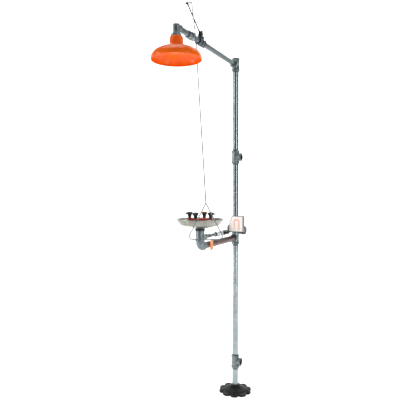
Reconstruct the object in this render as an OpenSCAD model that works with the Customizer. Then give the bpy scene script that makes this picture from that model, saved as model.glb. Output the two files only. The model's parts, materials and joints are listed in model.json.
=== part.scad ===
// Free-standing emergency safety shower with an eyewash bowl.
// Frame: millimetres, +Z up, origin under the centre of the floor flange.
// The shower arm, the bowl and the waste pipe run towards -Y; the side ports face +X.

/* [Heights above the floor] */
// Centre of the shower arm
arm_h = 2317; // [2250:1:2400]
// Centre of the water supply tee
supply_h = 1669; // [1550:1:1800]
// Centre of the eyewash supply line
eyewash_h = 1153; // [1152:1:1162]
// Centre of the waste pipe under the bowl
waste_h = 1099; // [1085:1:1101]
// Centre of the waste outlet tee
drain_h = 214; // [160:1:400]
// Bottom edge of the pull handle
handle_h = 1159; // [1100:1:1161]

/* [Reach from the standpipe] */
// Centre of the shower head
head_reach = 855; // [845:1:900]
// Centre of the eyewash bowl
bowl_reach = 568; // [540:1:600]
// Centre of the shower valve
valve_reach = 560; // [545:1:575]
// Centre of the union between the valve and the shower head
union_reach = 692; // [680:1:705]
// Centre of the eyewash ball valve
ball_valve_reach = 200; // [190:1:215]
// Rear end of the in-line strainer
strainer_reach = 246; // [245:1:260]

/* [Pipe] */
// Outside diameter of the standpipe and the waste pipe
riser_od = 42.2; // [38:0.1:44]
// Wall of the standpipe
riser_wall = 3.6; // [2.5:0.1:4.5]
// Outside diameter of the shower arm
arm_od = 33.4; // [30:0.1:35]
// Wall of the shower arm
arm_wall = 3.4; // [2.5:0.1:4.5]
// Outside diameter of the eyewash supply pipe
branch_od = 21.3; // [19:0.1:23]
// Wall of the eyewash supply pipe
branch_wall = 2.8; // [2:0.1:3.5]
// Radial clearance between a pipe and its socket
fit_gap = 0.05; // [0.02:0.01:0.1]

/* [Pipe fittings] */
// Centre to face of a standpipe fitting
tee_half = 44.5; // [42:0.5:48]
// Wall of a standpipe fitting at its end band
socket_wall = 7.4; // [6:0.1:8]
// Wall of a smaller fitting at its end band
small_wall = 5.4; // [4:0.1:6]
// Width of the band at each socket
band_w = 13; // [8:1:16]
// Pipe length held in a standpipe socket
engage = 17; // [14:0.5:18]
// Pipe length held in an eyewash supply socket
branch_engage = 12; // [10:0.5:13]
// Thickness of the wall between the supply and the waste in the divider
web_t = 8; // [5:1:10]

/* [Floor flange] */
// Diameter across the lobes
flange_d = 229; // [210:1:240]
// Number of lobes around the rim
flange_lobes = 10; // [8:2:12]
// Thickness of the rim
flange_t = 13; // [10:1:16]
// Height of the hub
flange_hub_h = 45; // [38:1:50]
// Diameter of a floor bolt hole
floor_hole_d = 13; // [10:0.5:15]
// Diameter of the bolt circle
floor_bolt_circle = 184; // [176:1:188]

/* [Shower head] */
// Outside diameter of the head
head_d = 278; // [260:1:290]
// Height of the head's dome
dome_h = 75; // [70:1:82]
// Wall of the head
head_t = 3; // [2:0.5:4]
// Outside diameter of the ribbed neck
neck_d = 75; // [68:1:80]
// Height of the ribbed neck
neck_h = 50; // [46:1:54]

/* [Shower valve and pull rod] */
// Half length of the valve body
valve_half = 40; // [38:1:45]
// Height of the lever pivot above the arm
pivot_up = 45; // [44:1:48]
// Length of the lever from pivot to eye
lever_len = 210; // [200:1:220]
// Rise of the closed lever above the horizontal, in degrees
lever_rise = 36.4; // [34:0.1:38]
// Turn of the lever from closed to open, in degrees
lever_turn = 36; // [30:1:36]
// Stroke of the plunger
plunger_stroke = 3; // [2:0.1:3.2]
// Diameter of the pull rod
rod_d = 6.5; // [6:0.1:7]
// Width of the triangular handle
handle_w = 209; // [190:1:220]
// Height of the triangular handle
handle_tall = 205; // [190:1:215]
// Sideways place of the handle's top corner
handle_x = 97.4; // [94:0.1:104]
// Distance of the handle from the standpipe
handle_reach = 690; // [686:1:700]

/* [Eyewash bowl] */
// Diameter of the bowl at its rim
bowl_d = 289; // [270:1:292]
// Height of the rim above the bowl's seat
bowl_tall = 58; // [54:1:64]
// Thickness of the bowl's sheet
bowl_t = 1.5; // [1:0.1:2]
// Distance of the side spray heads from the bowl's centre
head_side = 70; // [64:1:74]
// Distance of the front and back spray heads from the bowl's centre
head_front = 59; // [56:1:64]
// Diameter of a spray head at its mouth
spray_d = 36; // [34:1:38]
// Height of a spray head
spray_h = 28; // [26:1:30]

/* [Push flag] */
// Width of the flag at its foot
flag_w = 106; // [90:1:112]
// Height of the flag
flag_tall = 108; // [95:1:118]
// Thickness of the flag's sheet
flag_t = 2; // [1.5:0.1:3]

/* [Hidden] */
$fn = 64;
eps = 0.01;
run_gap = 0.3;
skin_share = 0.55;

riser_r = riser_od/2;
riser_in = riser_r - riser_wall;
arm_r = arm_od/2;
arm_in = arm_r - arm_wall;
branch_r = branch_od/2;
branch_in = branch_r - branch_wall;
band_r = riser_r + socket_wall;
bushing_hex_t = 6;
bushing_face = tee_half + bushing_hex_t;
elbow_half = 38;
union_half = 35;
elbow_body_r = riser_r + 3.2;
branch_half = 30;
divider_low = waste_h - tee_half;
divider_high = eyewash_h + tee_half - 1.5;
web_mid = (waste_h + eyewash_h)/2;

// Shower head, measured down from the arm
collar_drop = 35;
collar_top = arm_h - collar_drop;
collar_h = 19;
neck_top = collar_top - collar_h;
dome_top = neck_top - neck_h;
head_rim = dome_top - dome_h;
head_r = head_d/2;
neck_r = neck_d/2;
nozzle_r = 15;
head_lip = 5;
neck_ribs = 24;
// 2 would be an ellipse; a little more fills out the dome's shoulder
dome_power = 2.2;

// Bowl stack, measured up from the waste elbow
receptor_low = waste_h + tee_half;
seat_rise = 43;
seat_h = eyewash_h + seat_rise;
gasket_h = 12;
bowl_base = seat_h + gasket_h;
bowl_rim = bowl_base + bowl_tall;
bowl_r = bowl_d/2;
spigot_r = 23;
post_top = seat_h + 7;
manifold_h = bowl_rim - 5;
cup_base = manifold_h + 10;
cup_r = spray_d/2;
cup_hinge_x = cup_r + 5;
cup_hinge_z = spray_h + 0.6;
cover_pin_r = 1.2;
SPRAYS = [[-head_side, 0, 180], [head_side, 0, 0], [0, -head_front, -90], [0, head_front, 90]];

// Lever and rod
pivot = [0, -valve_reach, arm_h + pivot_up];
eye = [0, pivot[1] - lever_len*cos(lever_rise), pivot[2] + lever_len*sin(lever_rise)];
rod_r = rod_d/2;
hook_out = 28;
rod_bend = [hook_out + 1, -handle_reach + 8, arm_h - 15];
rod_foot = [handle_x, -handle_reach, handle_h + handle_tall];
handle_turn = 26.3;
handle_corner = 18;
cam_low_r = 10;
cam_rise = plunger_stroke/lever_turn;
bonnet_r = 13.5;
bonnet_slot = 12.6;
lever_pin_r = 3;
stem_r = 3;
cam_gap = 0.4;
stem_top = pivot[2] - cam_low_r - cam_gap;
valve_seat_z = 4;

// Eyewash valve, strainer and flag
supply_y = -ball_valve_reach;
ball_r = 11;
ball_stem_r = 4;
flag_left = 26;
flag_y = 10;
strainer_len = 100;
strainer_end = strainer_reach + strainer_len;
inlet_len = 84;
receptor_inlet = bowl_reach - inlet_len;
tag_reach = 448;
tag_x = riser_r + run_gap;

// ---- Shared shapes ---------------------------------------------------------

// Hollow pipe along +Z
module pipe(od, wall, len) {
  difference() {
    cylinder(h = len, d = od);
    translate([0, 0, -1]) cylinder(h = len + 2, d = od - 2*wall);
  }
}

// Pipe along -Y between two distances from the standpipe
module pipe_out(od, wall, from, to, z) {
  translate([0, -from, z]) rotate([90, 0, 0]) pipe(od, wall, to - from);
}

// Solid disc with chamfered edges, along +Z
module band(r, h, chamfer = 1.5) {
  rotate_extrude()
    polygon([[0, 0], [r - chamfer, 0], [r, chamfer], [r, h - chamfer], [r - chamfer, h], [0, h]]);
}

// Outside of one fitting end, from its centre to its face, along +Z
module end_skin(od, wall, half) {
  cylinder(h = half - 1, r = od/2 + skin_share*wall);
  translate([0, 0, half - band_w]) band(od/2 + wall, band_w);
}

// Socket and waterway of one fitting end, along +Z
module end_bore(od, pipe_t, half, depth) {
  cylinder(h = half + 1, r = od/2 - pipe_t);
  translate([0, 0, half - depth]) cylinder(h = depth + 1, r = od/2 + fit_gap);
}

module riser_skin(half = tee_half) { end_skin(riser_od, socket_wall, half); }
module riser_bore(half = tee_half) { end_bore(riser_od, riser_wall, half, engage); }

// Standpipe tee with its side port towards +X or -Y
module riser_tee(port_turn) {
  difference() {
    union() {
      riser_skin();
      rotate([180, 0, 0]) riser_skin();
      rotate(port_turn) rotate([0, 90, 0]) riser_skin();
    }
    riser_bore();
    rotate([180, 0, 0]) riser_bore();
    rotate(port_turn) rotate([0, 90, 0]) riser_bore();
  }
}

// Quarter bend of a round bar from -Z to +Y about its inner corner
module quarter_bend(r, bend_r) {
  rotate([0, -90, 0]) rotate_extrude(angle = 90) translate([bend_r, 0]) circle(r = r);
}

// Round bar between two points
module bar(a, b, r) {
  d = b - a;
  len = norm(d);
  translate(a) rotate([0, acos(d[2]/len), atan2(d[1], d[0])]) cylinder(h = len, r = r);
}

// Round bars through a list of points, with a ball at each
module bar_path(points, r) {
  for (i = [0:len(points) - 2]) bar(points[i], points[i + 1], r);
  for (p = points) translate(p) sphere(r = r + 0.05);
}

module hexagon(across, h) { rotate(30) cylinder(h = h, d = across/cos(30), $fn = 6); }

// ---- Standpipe -------------------------------------------------------------

module floor_flange() {
  r = flange_d/2;
  notch = 14;
  color("#24282a") difference() {
    union() {
      linear_extrude(flange_t) difference() {
        circle(r = r);
        for (i = [0:flange_lobes - 1])
          rotate((i + 0.5)*360/flange_lobes) translate([r + 6, 0]) circle(r = notch);
      }
      rotate_extrude() polygon([[0, flange_t - 1], [r - 24, flange_t - 1], [r - 40, 20], [60, 25],
        [44, 31], [37, 39], [34, flange_hub_h - 1], [33, flange_hub_h], [0, flange_hub_h]]);
      for (i = [0:flange_lobes/2 - 1])
        rotate(i*720/flange_lobes) translate([floor_bolt_circle/2, 0]) band(floor_hole_d, flange_t + 3);
    }
    translate([0, 0, 8]) cylinder(h = flange_hub_h, r = riser_r + fit_gap);
    translate([0, 0, -1]) cylinder(h = 10, r = riser_in);
    for (i = [0:flange_lobes/2 - 1])
      rotate(i*720/flange_lobes) translate([floor_bolt_circle/2, 0, -1])
        cylinder(h = flange_t + 5, d = floor_hole_d);
  }
}

module standpipe_run(low, high) {
  color("#9aa3a6") translate([0, 0, low]) pipe(riser_od, riser_wall, high - low);
}

module drain_nipple() { standpipe_run(8, drain_h - tee_half + engage); }
module lower_standpipe() { standpipe_run(drain_h + tee_half - engage, divider_low + engage); }
module middle_standpipe() { standpipe_run(divider_high - engage, supply_h - tee_half + engage); }
module upper_standpipe() { standpipe_run(supply_h + tee_half - engage, arm_h - tee_half + engage); }

module drain_tee() { color("#8f989a") translate([0, 0, drain_h]) riser_tee(0); }
module supply_tee() { color("#8f989a") translate([0, 0, supply_h]) riser_tee(0); }
module top_tee() { color("#8f989a") translate([0, 0, arm_h]) riser_tee(-90); }

module top_plug() {
  color("#8a9294") difference() {
    union() {
      translate([0, 0, arm_h + tee_half - engage]) cylinder(h = engage, r = riser_r);
      translate([0, 0, arm_h + tee_half]) band(riser_r + 2, 3, 1);
    }
    translate([0, 0, arm_h + tee_half - 9]) linear_extrude(20) square(17, center = true);
  }
}

// Casting that joins two tees in one, with a wall between waste and supply
module divider_tee() {
  h = divider_high - divider_low;
  color("#8f989a") difference() {
    union() {
      translate([0, 0, divider_low]) cylinder(h = h, r = riser_r + skin_share*socket_wall);
      translate([0, 0, divider_low]) band(band_r, band_w);
      translate([0, 0, divider_high - band_w]) band(band_r, band_w);
      translate([0, 0, waste_h]) rotate([90, 0, 0]) riser_skin();
      translate([0, 0, eyewash_h]) rotate([90, 0, 0]) end_skin(branch_od, small_wall, tee_half);
      translate([0, 0, eyewash_h]) rotate([0, 90, 0]) riser_skin();
    }
    translate([0, 0, divider_low - 1]) cylinder(h = web_mid - web_t/2 - divider_low + 1, r = riser_in);
    translate([0, 0, web_mid + web_t/2]) cylinder(h = h, r = riser_in);
    translate([0, 0, divider_low - 1]) cylinder(h = engage + 1, r = riser_r + fit_gap);
    translate([0, 0, divider_high - engage]) cylinder(h = engage + 1, r = riser_r + fit_gap);
    translate([0, 0, waste_h]) rotate([90, 0, 0]) riser_bore();
    translate([0, 0, eyewash_h]) rotate([90, 0, 0])
      end_bore(branch_od, branch_wall, tee_half, branch_engage);
    translate([0, 0, eyewash_h]) rotate([0, 90, 0]) riser_bore();
  }
}

// Screwed cap that closes the divider's spare side port
module port_cap() {
  color("#1d1e20") translate([tee_half, 0, eyewash_h]) rotate([0, 90, 0]) difference() {
    union() {
      translate([0, 0, -engage + 1]) cylinder(h = engage, r = riser_r);
      band(band_r - 2, 8, 1);
      translate([0, 0, 7]) band(30, 24, 3);
    }
    translate([0, 0, -engage]) cylinder(h = engage + 18, r = riser_in - 2);
  }
}

// ---- Shower arm ------------------------------------------------------------

module arm_bushing() {
  color("#858d8f") translate([0, -tee_half, arm_h]) rotate([90, 0, 0]) difference() {
    union() {
      translate([0, 0, -engage]) cylinder(h = engage + 1, r = riser_r);
      hexagon(46, bushing_hex_t);
    }
    translate([0, 0, -engage - 1]) cylinder(h = 40, r = arm_in);
    translate([0, 0, bushing_hex_t - engage]) cylinder(h = 40, r = arm_r + fit_gap);
  }
}

module arm_run(from, to) { color("#7f898a") pipe_out(arm_od, arm_wall, from, to, arm_h); }
module shower_arm() { arm_run(bushing_face - engage, valve_reach - valve_half + engage); }
module valve_nipple() { arm_run(valve_reach + valve_half - engage, union_reach - union_half + engage); }
module front_nipple() { arm_run(union_reach + union_half - engage, head_reach - elbow_half + engage); }

module arm_socket_skin(half) { end_skin(arm_od, small_wall, half); }
module arm_socket_bore(half) { end_bore(arm_od, arm_wall, half, engage); }

module shower_valve_body() {
  color("#6d7679") translate([0, -valve_reach, arm_h]) difference() {
    union() {
      for (turn = [90, -90]) rotate([turn, 0, 0]) {
        cylinder(h = valve_half - 2, r = arm_r + 4);
        translate([0, 0, valve_half - 16]) hexagon(44, 16);
      }
      sphere(r = 24);
      translate([0, 0, 10]) cylinder(h = 16, r = 20);
      translate([0, 0, 19]) band(22, 8, 1);
    }
    rotate([90, 0, 0]) translate([0, 0, 18]) cylinder(h = valve_half, r = arm_in);
    rotate([-90, 0, 0]) translate([0, 0, 18]) cylinder(h = valve_half, r = arm_in);
    for (turn = [90, -90]) rotate([turn, 0, 0])
      translate([0, 0, valve_half - engage]) cylinder(h = engage + 1, r = arm_r + fit_gap);
    translate([0, 0, -17]) cylinder(h = 50, r = 14);
    translate([0, 4, -9]) rotate([-90, 0, 0]) cylinder(h = 20, r = 7.5);
    translate([0, -4, 9]) rotate([90, 0, 0]) cylinder(h = 20, r = 7.5);
    translate([0, 0, 15]) cylinder(h = 30, r = 16 + fit_gap);
  }
}

// Ring that the plunger closes against
module shower_valve_seat() {
  color("#b9a36a") translate([0, -valve_reach, arm_h + valve_seat_z - 6]) difference() {
    cylinder(h = 6, r = 14 - fit_gap);
    translate([0, 0, -1]) cylinder(h = 8, r = 8);
  }
}

module shower_valve_bonnet() {
  top = pivot_up + 21;
  base = 27;
  color("#4c5255") translate([0, -valve_reach, arm_h]) difference() {
    union() {
      translate([0, 0, 15]) cylinder(h = base - 15, r = 16);
      translate([0, 0, base]) band(21, 4, 0.8);
      translate([0, 0, base]) cylinder(h = top - base, r = bonnet_r);
    }
    translate([-bonnet_slot/2, -30, 31]) cube([bonnet_slot, 60, 60]);
    translate([0, 0, 0]) cylinder(h = 40, r = stem_r + fit_gap);
    translate([-30, 0, pivot_up]) rotate([0, 90, 0]) cylinder(h = 60, r = lever_pin_r + 0.02);
  }
}

module shower_valve_plunger() {
  low = arm_h + valve_seat_z - 6;
  color("#a58f5a") translate([0, -valve_reach, 0]) {
    translate([0, 0, low - 4]) cylinder(h = 4 - 0.05, r = 11);
    translate([0, 0, low - 1]) cylinder(h = stem_top - stem_r - low + 1, r = stem_r);
    translate([0, 0, stem_top - stem_r]) sphere(r = stem_r);
  }
}

module lever_pin() {
  color("#9da2a5") translate(pivot) rotate([0, 90, 0]) {
    translate([0, 0, -bonnet_r - 2]) cylinder(h = 2*bonnet_r + 4, r = lever_pin_r);
    for (side = [-1, 1]) translate([0, 0, side*(bonnet_r + 3)]) band_centred(5, 3);
  }
}

module band_centred(r, h) { translate([0, 0, -h/2]) band(r, h, 0.6); }

// Spiral cam outline: its radius grows with the angle turned past the plunger
function cam_radius(a) = cam_low_r + cam_rise*max(0, min(a, lever_turn + 16));

module shower_lever() {
  cam = [for (a = [-150:6:150]) cam_radius(a)*[-sin(a), -cos(a)]];
  color("#3f4548") translate(pivot) rotate([90, 0, 90]) difference() {
    union() {
      translate([0, 0, -6]) linear_extrude(12) polygon(cam);
      rotate(180 - lever_rise) {
        translate([6, -5.5, -5]) cube([18, 11, 10]);
        translate([20, 0, 0]) rotate([0, 90, 0]) cylinder(h = lever_len - 30, r = 4);
        translate([lever_len - 16, -5.5, -3]) cube([16, 11, 6]);
        translate([lever_len, 0, -3]) cylinder(h = 6, r = 7.5);
      }
    }
    translate([0, 0, -20]) cylinder(h = 40, r = lever_pin_r + fit_gap);
    rotate(180 - lever_rise) translate([lever_len, 0, -20]) cylinder(h = 40, r = rod_r + fit_gap);
  }
}

// Bent rod: hook through the lever, long shank, and a closed triangular handle
module pull_rod() {
  color("#a9aeb2") {
    bar_path([eye + [-13, 0, 0], eye + [hook_out - 8, 0, 0], eye + [hook_out - 2, 1, -2.5],
      eye + [hook_out, 3, -9], rod_bend, rod_foot], rod_r);
    translate([handle_x, -handle_reach, handle_h]) rotate(handle_turn) rotate([90, 0, 0])
      for (side = [0, 1]) mirror([side, 0, 0]) handle_half();
  }
}

// Half of the triangle: foot, rounded corner and slanted side, lapped where they meet
module handle_half() {
  c = handle_corner;
  half = handle_w/2;
  slope = atan2(handle_tall, half);
  tangent = c/tan(slope/2);
  lap = 1;
  bar([-lap, 0, 0], [half - tangent + lap, 0, 0], rod_r);
  bar([0, handle_tall, 0], [half - (tangent - lap)*cos(slope), (tangent - lap)*sin(slope), 0], rod_r);
  translate([half - tangent, c]) rotate(-90)
    rotate_extrude(angle = 180 - slope) translate([c, 0]) circle(r = rod_r + 0.05);
}

// Washer and split pin that hold the hook in the lever's eye
module rod_cotter() {
  color("#b4b8ba") translate(eye) rotate([0, -90, 0]) difference() {
    union() {
      translate([0, 0, 3 + run_gap]) band(7, 1.6, 0.4);
      translate([0, 0, 3 + run_gap + 1.5]) band(5.2, 4, 0.8);
    }
    cylinder(h = 30, r = rod_r + 0.02);
  }
}

module arm_union() {
  end_band = 14;
  color("#808a8c") translate([0, -union_reach, arm_h]) difference() {
    rotate([90, 0, 0]) {
      translate([0, 0, -union_half]) cylinder(h = 2*union_half, r = arm_r + 4);
      translate([0, 0, -union_half]) band(arm_r + small_wall, end_band);
      translate([0, 0, union_half - end_band]) band(arm_r + small_wall, end_band);
      translate([0, 0, -14]) hexagon(46, 24);
      translate([0, 0, 9]) band(22.5, 8, 1.5);
    }
    for (turn = [90, -90]) rotate([turn, 0, 0]) arm_socket_bore(union_half);
  }
}

// ---- Shower head -----------------------------------------------------------

module street_elbow() {
  leg = arm_h - collar_top;
  color("#8b9496") translate([0, -head_reach, arm_h]) difference() {
    union() {
      sphere(r = arm_r + 4.4);
      rotate([-90, 0, 0]) arm_socket_skin(elbow_half);
      rotate([180, 0, 0]) cylinder(h = leg, r = arm_r + 3);
      rotate([180, 0, 0]) cylinder(h = leg + collar_h + 8, r = nozzle_r);
    }
    rotate([-90, 0, 0]) arm_socket_bore(elbow_half);
    rotate([180, 0, 0]) cylinder(h = leg + 60, r = nozzle_r - 3.5);
  }
}

module collar_nut() {
  color("#a4abad") translate([0, -head_reach, neck_top]) difference() {
    union() {
      band(neck_r - 7.5, collar_h - 6, 2);
      translate([0, 0, collar_h - 7]) band(neck_r - 15, 7, 1);
    }
    translate([0, 0, -1]) cylinder(h = collar_h + 2, r = nozzle_r + fit_gap);
  }
}

function dome_z(r, edge, tall) = tall*pow(1 - pow(r/edge, dome_power), 1/dome_power);

// Dome outline as [radius, height], closer together where it is steep
function dome_curve(edge, tall, steps) =
  [for (i = [0:steps]) let (r = edge*sin(90*i/steps)) [r, i == steps ? 0 : dome_z(r, edge, tall)]];

module shower_head() {
  lip = head_lip;
  outer = dome_curve(head_r, dome_h - lip, 20);
  inner = dome_curve(head_r - head_t, dome_h - lip - head_t, 20);
  color("#f26a1b") translate([0, -head_reach, head_rim]) difference() {
    union() {
      translate([0, 0, lip]) rotate_extrude() polygon(concat([[0, 0]], outer));
      cylinder(h = lip + eps, r = head_r);
      translate([0, 0, dome_h - 6]) cylinder(h = 12, r1 = neck_r + 12, r2 = neck_r + 1);
      translate([0, 0, dome_h - 6]) band(neck_r, neck_h + 6, 3);
      for (i = [0:neck_ribs - 1]) rotate(i*360/neck_ribs) translate([neck_r - 1, 0, dome_h + 3])
        cylinder(h = neck_h - 8, r = 2);
    }
    translate([0, 0, lip]) rotate_extrude() polygon(concat([[0, 0]], inner));
    translate([0, 0, -1]) cylinder(h = lip + 1 + eps, r = head_r - head_t);
    translate([0, 0, dome_h - 20]) cylinder(h = neck_h + 12, r = neck_r - 8);
    translate([0, 0, dome_h]) cylinder(h = neck_h + 1, r = nozzle_r + fit_gap);
  }
}

// Flow control and spreader disc hung inside the head on the elbow's outlet
module head_spreader() {
  top = neck_top - 8;
  foot = head_rim + 40;
  tube_r = nozzle_r - 3;
  disc_r = 40;
  color("#e8641a") translate([0, -head_reach, foot]) difference() {
    union() {
      cylinder(h = top - foot, r = tube_r);
      translate([0, 0, top - foot - 16]) cylinder(h = 16, r = nozzle_r);
      band(disc_r, 4, 1);
      translate([0, 0, 3]) cylinder(h = 14, r1 = disc_r - 16, r2 = tube_r);
    }
    translate([0, 0, 18]) cylinder(h = top, r = tube_r - 3);
    for (i = [0:11]) rotate(i*30) translate([disc_r - 8, 0, -1]) cylinder(h = 8, r = 3);
    for (i = [0:3]) rotate(i*90) translate([0, -4, 20]) cube([tube_r + 5, 8, 14]);
  }
}

// ---- Waste line and receptor ----------------------------------------------

module waste_pipe() {
  buried = tee_half - engage;
  color("#8c8f90") pipe_out(riser_od, riser_wall, buried, bowl_reach - buried, waste_h);
}

module waste_elbow() {
  bend = tee_half - engage;
  body = elbow_body_r;
  color("#9ba3a5") translate([0, -bowl_reach, waste_h]) difference() {
    union() {
      riser_stub();
      rotate([-90, 0, 0]) riser_stub();
      translate([0, bend, bend]) rotate([180, 0, 0]) quarter_bend(body, bend);
    }
    riser_bore_stub();
    rotate([-90, 0, 0]) riser_bore_stub();
    translate([0, bend, bend]) rotate([180, 0, 0]) quarter_bend(riser_in, bend);
  }
}

// One straight end of the elbow, from the end of its bend to its face
module riser_stub() {
  translate([0, 0, tee_half - engage]) cylinder(h = engage - 1, r = elbow_body_r);
  translate([0, 0, tee_half - band_w]) band(band_r, band_w);
}

module riser_bore_stub() {
  translate([0, 0, tee_half - engage]) cylinder(h = engage + 1, r = riser_r + fit_gap);
}

// Casting under the bowl: waste falls round a centre post that carries the supply
module receptor_body() {
  wall_r = riser_r + 5.5;
  color("#a3aaac") translate([0, -bowl_reach, 0]) difference() {
    union() {
      difference() {
        union() {
          translate([0, 0, receptor_low]) cylinder(h = seat_h - receptor_low, r = wall_r);
          translate([0, 0, receptor_low - engage + 1]) cylinder(h = engage, r = riser_r);
          translate([0, 0, seat_h - 5]) band(29, 5, 1);
          translate([0, 0, seat_h - 1]) cylinder(h = gasket_h + 11, r = spigot_r);
        }
        translate([0, 0, receptor_low - engage]) cylinder(h = 200, r = riser_in);
        translate([0, 0, eyewash_h + 14]) cylinder(h = 100, r = spigot_r - 2.5);
      }
      translate([0, 0, eyewash_h - 8]) cylinder(h = post_top - eyewash_h + 8, r = branch_r + 2);
      receptor_inlet_arm();
    }
    translate([0, 0, eyewash_h]) rotate([-90, 0, 0]) cylinder(h = 100, r = branch_in);
    translate([0, inlet_len - branch_engage, eyewash_h]) rotate([-90, 0, 0])
      cylinder(h = 40, r = branch_r + fit_gap);
    translate([0, 0, eyewash_h]) cylinder(h = 100, r = branch_in);
    translate([0, 0, post_top - branch_engage]) cylinder(h = 40, r = branch_r + fit_gap);
  }
}

// Tapered inlet arm, cut flat over the waste elbow's band
module receptor_inlet_arm() {
  difference() {
    translate([0, 0, eyewash_h]) rotate([-90, 0, 0]) {
      cylinder(h = inlet_len - 10, r = branch_r + 1);
      translate([0, 0, riser_r]) cylinder(h = 36, r1 = 19, r2 = branch_r + 3);
      translate([0, 0, 50]) cylinder(h = inlet_len - 52, r = branch_r + 3);
      translate([0, 0, inlet_len - band_w]) band(branch_r + small_wall, band_w);
    }
    translate([0, 0, receptor_low - 30]) cylinder(h = 30, r = band_r + run_gap);
  }
}

module bowl_gasket() {
  color("#17181a") translate([0, -bowl_reach, seat_h]) difference() {
    band(29, gasket_h, 1);
    translate([0, 0, -1]) cylinder(h = gasket_h + 2, r = spigot_r + fit_gap);
  }
}

module eyewash_bowl() {
  low_cone = 21;
  shoulder_r = bowl_r - 28;
  t = bowl_t;
  color("#b7b9b8") translate([0, -bowl_reach, bowl_base]) difference() {
    rotate_extrude() polygon([[spigot_r + fit_gap, 0], [31, 0], [shoulder_r, low_cone],
      [bowl_r - 5, bowl_tall - 5], [bowl_r, bowl_tall - 3], [bowl_r, bowl_tall],
      [bowl_r - 1.5*t, bowl_tall], [bowl_r - 5 - 1.3*t, bowl_tall - 4],
      [shoulder_r - 1.2*t, low_cone + t], [31, t], [spigot_r + fit_gap, t]]);
    translate([0, 0, -1]) cylinder(h = 4, r = spigot_r + fit_gap);
  }
}

module bowl_locknut() {
  color("#c2a24e") translate([0, -bowl_reach, bowl_base + bowl_t]) difference() {
    band(30, 7, 1);
    translate([0, 0, -1]) cylinder(h = 20, r = spigot_r + fit_gap);
  }
}

// ---- Eyewash supply line ---------------------------------------------------

module supply_run(from, to) { color("#a5adaf") pipe_out(branch_od, branch_wall, from, to, eyewash_h); }

module rear_supply_nipple() {
  supply_run(tee_half - branch_engage, ball_valve_reach - branch_half + branch_engage);
}

module middle_supply_nipple() {
  supply_run(ball_valve_reach + branch_half - branch_engage, strainer_reach + branch_engage);
}

module front_supply_nipple() {
  supply_run(strainer_end - branch_engage, receptor_inlet + branch_engage);
}

module branch_bore() { end_bore(branch_od, branch_wall, branch_half, branch_engage); }

// Rear part of the ball valve, which holds the ball and its stem
module eyewash_valve_body() {
  color("#3c4244") translate([0, supply_y, eyewash_h]) difference() {
    union() {
      rotate([-90, 0, 0]) cylinder(h = branch_half - 1, r = 14);
      rotate([-90, 0, 0]) translate([0, 0, branch_half - 13]) hexagon(29, 13);
      rotate([90, 0, 0]) cylinder(h = 12, r = 16.5);
      rotate([-90, 0, 0]) cylinder(h = 12, r = 16.5);
      rotate([0, 90, 0]) cylinder(h = 22, r = 8.5);
    }
    rotate([-90, 0, 0]) branch_bore();
    translate([0, -20, 0]) rotate([-90, 0, 0]) cylinder(h = 34.5, r = 12.5);
    rotate([0, 90, 0]) cylinder(h = 30, r = ball_stem_r + fit_gap);
  }
}

// Front part of the ball valve, screwed into the body
module eyewash_valve_end() {
  color("#454b4d") translate([0, supply_y, eyewash_h]) rotate([90, 0, 0]) difference() {
    union() {
      translate([0, 0, 14.5]) cylinder(h = branch_half - 15, r = 14);
      translate([0, 0, 12.2]) cylinder(h = 4, r = 15.5);
      translate([0, 0, branch_half - 13]) hexagon(29, 13);
    }
    cylinder(h = 60, r = branch_in);
    translate([0, 0, branch_half - branch_engage]) cylinder(h = 30, r = branch_r + fit_gap);
  }
}

module eyewash_ball() {
  color("#d0d3d5") translate([0, supply_y, eyewash_h]) difference() {
    sphere(r = ball_r);
    translate([0, 0, -20]) cylinder(h = 40, r = 6.5);
    translate([ball_r - 3, -ball_r, -1.6]) cube([6, 2*ball_r, 3.2]);
  }
}

module ball_seats() {
  color("#e8e8e4") translate([0, supply_y, eyewash_h]) difference() {
    for (turn = [90, -90]) rotate([turn, 0, 0]) translate([0, 0, 6.5]) cylinder(h = 5.4, r = 12.4);
    sphere(r = ball_r + 0.1);
    translate([0, -20, 0]) rotate([-90, 0, 0]) cylinder(h = 40, r = 7);
  }
}

module eyewash_stem() {
  color("#9fa4a6") translate([0, supply_y, eyewash_h]) {
    rotate([0, 90, 0]) translate([0, 0, ball_r]) cylinder(h = 25, r = ball_stem_r);
    translate([ball_r - 2.8, -3.6, -1.5]) cube([4, 7.2, 3]);
  }
}

// Push flag: lug on the valve stem, flat face and a stiffening edge
module flag_handle() {
  foot = 5;
  face_w = flag_w;
  t = flag_t;
  color("#b9bdbe") translate([flag_left, supply_y, eyewash_h]) difference() {
    union() {
      translate([0, -11, -11]) cube([3, 22, 22]);
      translate([0, -11, 8]) cube([3, flag_y + 11, 42]);
      translate([0, flag_y, foot]) rotate([90, 0, 0]) linear_extrude(t)
        polygon([[0, 0], [face_w, 0], [face_w, flag_tall], [24, flag_tall], [0, 37]]);
      translate([face_w - t, flag_y - t, foot]) cube([t, 20, flag_tall - 2]);
      translate([22, flag_y - t, foot + flag_tall - t]) cube([face_w - 22, 10, t]);
    }
    translate([-1, 0, 0]) rotate([0, 90, 0]) cylinder(h = 10, r = ball_stem_r + fit_gap);
  }
}

module flag_label() {
  color("#f4f2ee") translate([flag_left, supply_y + flag_y - flag_t, eyewash_h + 5])
    rotate([90, 0, 0]) linear_extrude(0.6)
      polygon([[5, 4], [flag_w - 5, 4], [flag_w - 5, flag_tall - 5], [27, flag_tall - 5], [5, 38]]);
}

module handle_nut() {
  color("#c3c6c8") translate([flag_left + 3, supply_y, eyewash_h]) rotate([0, 90, 0]) difference() {
    hexagon(13, 5);
    translate([0, 0, -1]) cylinder(h = 8, r = ball_stem_r + 0.02);
  }
}

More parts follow.
